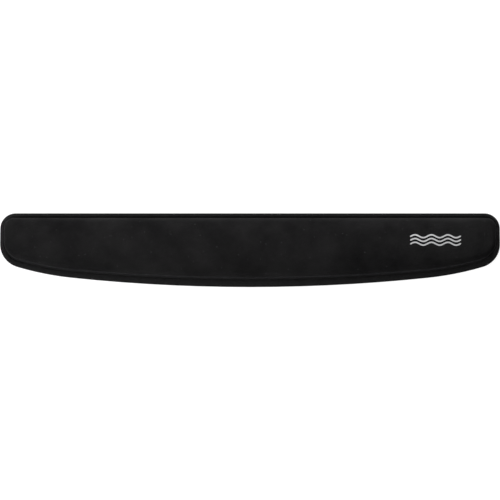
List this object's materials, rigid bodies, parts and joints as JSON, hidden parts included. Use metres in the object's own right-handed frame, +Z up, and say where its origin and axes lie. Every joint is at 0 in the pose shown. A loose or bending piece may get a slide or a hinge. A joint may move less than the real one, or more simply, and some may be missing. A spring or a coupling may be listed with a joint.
{
  "type": "keyboard wrist rest",
  "caption": "Long low D-shaped gel wrist rest: straight keyboard edge, bowed front edge, black knit pad raised from a flat rim on a non-slip base.",
  "frame": {"origin": "middle of the footprint's bounding box, on the desk surface", "axes": "+X along the length, +Y towards the keyboard (the straight edge), -Y towards the user (the bowed edge), +Z up"},
  "size_m": [0.46, 0.068, 0.0201],
  "materials": {
    "base_rubber": "moulded non-slip polyurethane rubber, matt, with hexagonal grip cells underneath",
    "adhesive_film": "black hot-melt adhesive film, satin",
    "board_plastic": "calendered polypropylene sheet, fine grained",
    "eva_foam": "closed-cell EVA foam, cut and hot-formed",
    "pouch_film": "clear thermoplastic polyurethane film, wet gloss",
    "gel": "soft translucent polyurethane gel, faintly blue",
    "sponge_foam": "open-cell polyurethane sponge laminated to the cover",
    "knit_cover": "black polyester-elastane knit, fine-gauge, hot-formed, soft sheen",
    "silver_ink": "silver screen-printing ink, satin"
  },
  "bodies": {
    "root": {"base_sheet": "base_rubber", "base_adhesive": "adhesive_film", "stiffener_board": "board_plastic", "bed_adhesive": "adhesive_film", "foam_bed": "eva_foam", "gel_pouch_floor": "pouch_film", "gel_core": "gel", "gel_pouch_lid": "pouch_film", "comfort_sponge": "sponge_foam", "rim_seal": "adhesive_film", "cover_cloth": "knit_cover", "printed_mark": "silver_ink"}
  },
  "joints": []
}
